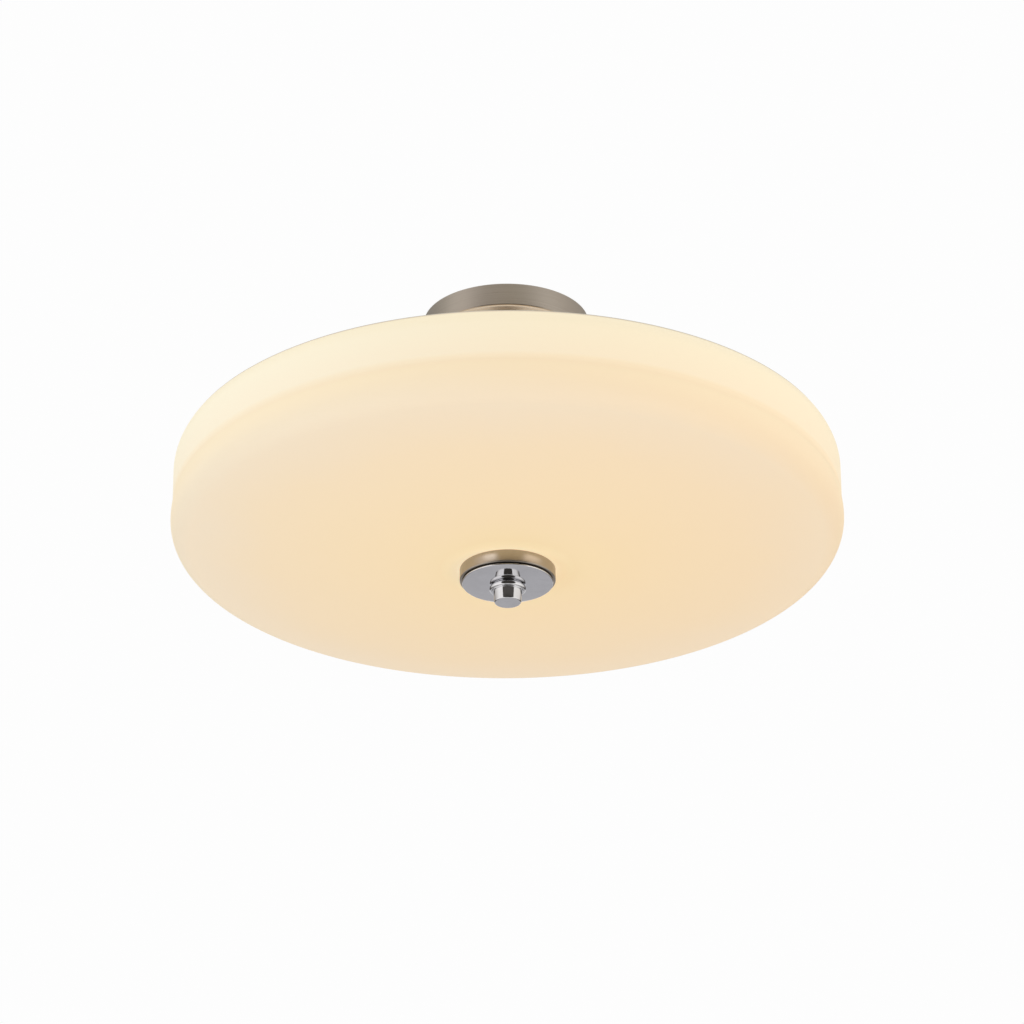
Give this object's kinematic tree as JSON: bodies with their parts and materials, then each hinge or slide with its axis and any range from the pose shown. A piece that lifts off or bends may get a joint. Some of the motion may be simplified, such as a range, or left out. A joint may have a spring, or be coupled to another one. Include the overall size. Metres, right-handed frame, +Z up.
{
  "type": "ceiling light",
  "caption": "Semi-flush ceiling light: shallow round opal glass bowl on a short stem under a small round brushed nickel canopy, held by a cup and a turned knob.",
  "frame": {"origin": "centre of the crossbar's top face, in the ceiling plane, on the light's axis", "axes": "+Z up into the ceiling along the light's axis; +X along the crossbar's line of slots; -Y towards the viewer of the picture"},
  "size_m": [0.4572, 0.4572, 0.2143],
  "materials": {
    "brushed_nickel": "fine circular brushing",
    "polished_chrome": "mirror polish",
    "opal_glass": "satin opal, lit from inside",
    "zinc_steel": "zinc plated",
    "green_screw": "dyed zinc",
    "white_paint": "semi-gloss baked enamel",
    "lampholder_metal": "spun",
    "porcelain": "glazed",
    "shell_brass": "rolled",
    "bulb_glass": "frosted inside",
    "base_metal": "rolled",
    "black_glass": "moulded, shiny",
    "solder": "soldered button",
    "rubber": "moulded silicone"
  },
  "bodies": {
    "fixture": {"crossbar": "zinc_steel", "ground_screw": "green_screw", "canopy_studs": "zinc_steel", "stud_locknuts": "zinc_steel", "canopy_cap_nuts": "brushed_nickel", "canopy": "brushed_nickel", "lock_washer": "zinc_steel", "canopy_hex_nut": "zinc_steel", "centre_rod": "zinc_steel", "upper_check_ring": "brushed_nickel", "stem_tube": "brushed_nickel", "lower_check_ring": "brushed_nickel", "hub_cover": "white_paint", "hub_body": "white_paint", "hub_nut": "zinc_steel", "lampholder_nipples": "zinc_steel", "lampholder_set_screws": "zinc_steel", "rod_sleeve": "zinc_steel", "stop_nut": "zinc_steel", "steel_washer": "zinc_steel", "upper_pad": "rubber", "lampholder_cap_1": "lampholder_metal", "lampholder_body_1": "porcelain", "contact_block_1": "porcelain", "screw_shell_1": "shell_brass", "centre_contact_1": "shell_brass", "lampholder_cap_2": "lampholder_metal", "lampholder_body_2": "porcelain", "contact_block_2": "porcelain", "screw_shell_2": "shell_brass", "centre_contact_2": "shell_brass", "lampholder_cap_3": "lampholder_metal", "lampholder_body_3": "porcelain", "contact_block_3": "porcelain", "screw_shell_3": "shell_brass", "centre_contact_3": "shell_brass"},
    "shade": {"glass_shade": "opal_glass", "grommet": "rubber"},
    "finial_seat": {"shade_gasket": "rubber", "finial_cup": "brushed_nickel", "finial_disc": "polished_chrome"},
    "knob": {"finial_knob": "polished_chrome"},
    "bulb_1": {"bulb_globe_1": "bulb_glass", "bulb_base_1": "base_metal", "bulb_insulator_1": "black_glass", "bulb_contact_1": "solder"},
    "bulb_2": {"bulb_globe_2": "bulb_glass", "bulb_base_2": "base_metal", "bulb_insulator_2": "black_glass", "bulb_contact_2": "solder"},
    "bulb_3": {"bulb_globe_3": "bulb_glass", "bulb_base_3": "base_metal", "bulb_insulator_3": "black_glass", "bulb_contact_3": "solder"}
  },
  "joints": [
    {"name": "shade_lower", "type": "slide", "parent": "fixture", "child": "shade", "axis": [0, 0, -1], "range_m": [0, 0.11]},
    {"name": "finial_drop", "type": "slide", "parent": "shade", "child": "finial_seat", "axis": [0, 0, -1], "range_m": [0, 0.009]},
    {"name": "knob_turn", "type": "hinge", "parent": "finial_seat", "child": "knob", "pos_m": [0, 0, -0.2], "axis": [0, 0, -1], "range_deg": [0, 3241]},
    {"name": "bulb_1_out", "type": "slide", "parent": "fixture", "child": "bulb_1", "axis": [0, 1, 0], "range_m": [0, 0.03]},
    {"name": "bulb_2_out", "type": "slide", "parent": "fixture", "child": "bulb_2", "axis": [-0.866, -0.5, 0], "range_m": [0, 0.03]},
    {"name": "bulb_3_out", "type": "slide", "parent": "fixture", "child": "bulb_3", "axis": [0.866, -0.5, 0], "range_m": [0, 0.03]}
  ],
  "couplings": [
    {"joint": "knob_turn", "follows": "finial_drop", "rad_per_m": 6283.2}
  ]
}
